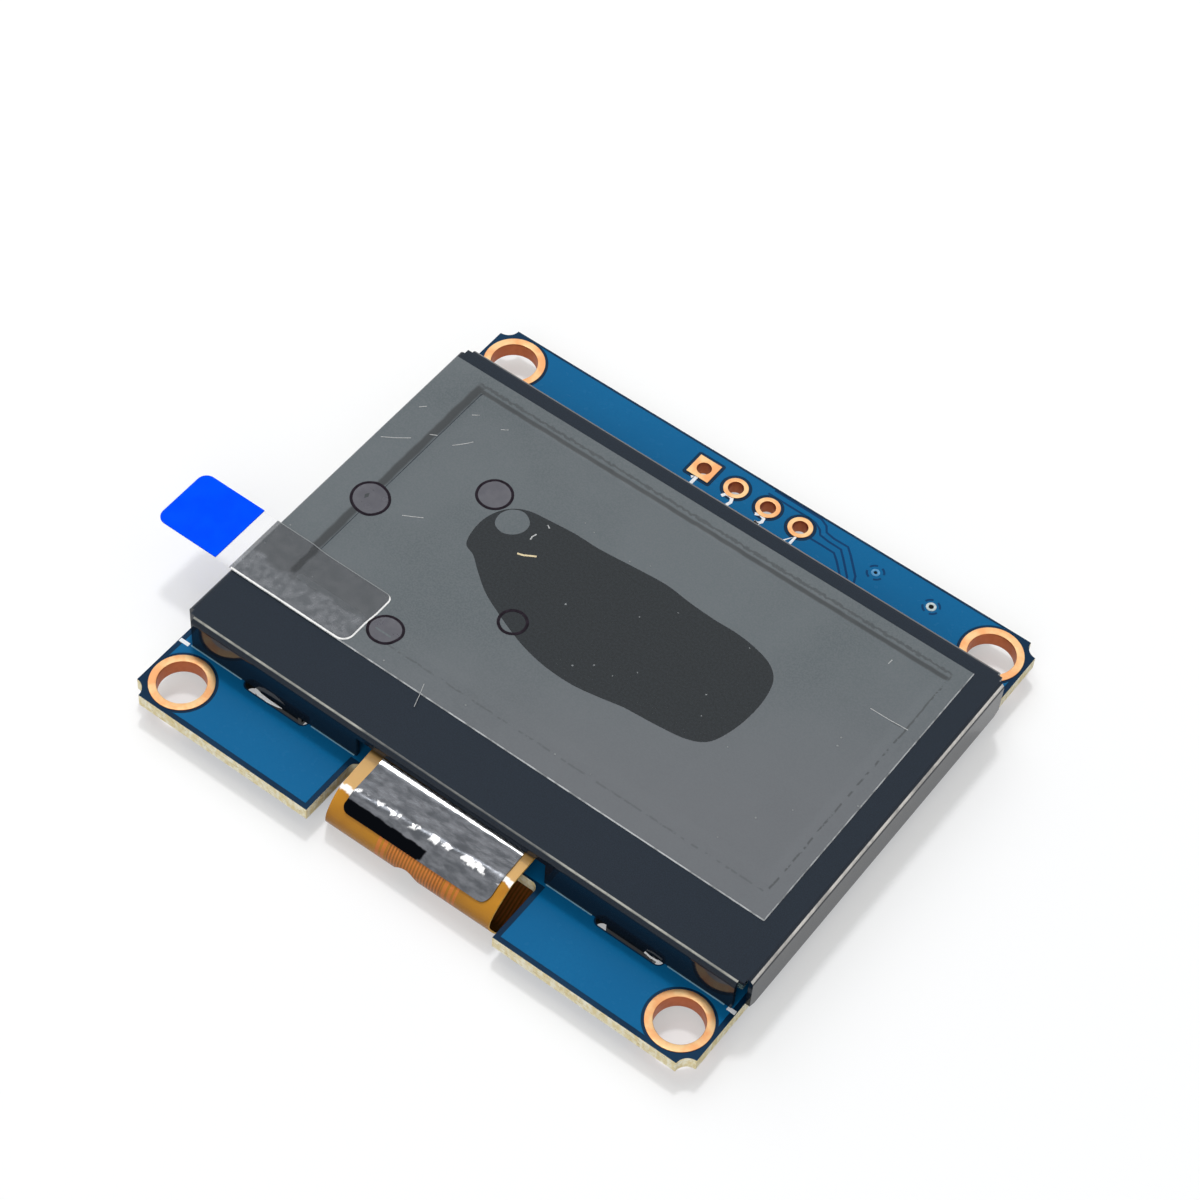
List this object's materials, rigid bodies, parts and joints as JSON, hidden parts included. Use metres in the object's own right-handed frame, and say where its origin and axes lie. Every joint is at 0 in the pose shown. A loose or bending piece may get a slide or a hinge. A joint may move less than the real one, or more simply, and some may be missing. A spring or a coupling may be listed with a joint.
{
  "type": "oled display module",
  "caption": "Small graphic display module: circuit board, framed glass panel with peel-off film, looped flat cable and a row of pin holes.",
  "frame": {"origin": "centre of the four mounting holes, on the board's back face", "axes": "+X along the board's long side, +Y towards the pin holes, +Z out of the display's face"},
  "size_m": [0.0485, 0.038, 0.005],
  "materials": {
    "solder_mask": "blue solder mask over glass-fibre laminate, cream at the cut edges",
    "copper_plating": "bare copper-coloured plating, satin",
    "bezel_black": "black coated steel sheet, satin face and glossier folds",
    "polarizer": "dark grey polarizing film",
    "panel_glass": "clear sheet glass",
    "pixel_layer": "unlit display layer",
    "getter": "white drying sheet",
    "silicon": "polished bare chip",
    "foam": "black double-sided foam tape",
    "polyimide": "amber flexible cable with copper tracks",
    "solder": "bright tin solder",
    "foil": "mirror-bright foil, slightly creased",
    "clear_film": "clear protective film, partly wetted",
    "grip_blue": "saturated blue film",
    "capacitor": "tan ceramic",
    "chip_black": "black coated ceramic",
    "epoxy_black": "moulded black epoxy"
  },
  "bodies": {
    "root": {"board": "solder_mask", "hole_ring_front_left": "copper_plating", "hole_ring_front_right": "copper_plating", "hole_ring_back_left": "copper_plating", "hole_ring_back_right": "copper_plating", "pin_pad_1": "copper_plating", "pin_pad_2": "copper_plating", "pin_pad_3": "copper_plating", "pin_pad_4": "copper_plating", "bezel": "bezel_black", "polarizer": "polarizer", "front_glass": "panel_glass", "pixel_layer": "pixel_layer", "getter": "getter", "cap_glass": "panel_glass", "driver_chip": "silicon", "foam_tape": "foam", "flat_cable": "polyimide", "solder_row": "solder", "light_shield": "foil", "protective_film": "clear_film", "pull_tab": "clear_film", "pull_tab_grip": "grip_blue", "capacitor_1": "capacitor", "capacitor_2": "capacitor", "capacitor_3": "capacitor", "capacitor_4": "capacitor", "capacitor_ends_1": "solder", "capacitor_ends_2": "solder", "capacitor_ends_3": "solder", "capacitor_ends_4": "solder", "resistor_1": "chip_black", "resistor_2": "chip_black", "resistor_3": "chip_black", "resistor_4": "chip_black", "resistor_ends_1": "solder", "resistor_ends_2": "solder", "resistor_ends_3": "solder", "resistor_ends_4": "solder", "regulator": "epoxy_black", "regulator_leads": "solder"}
  },
  "joints": []
}
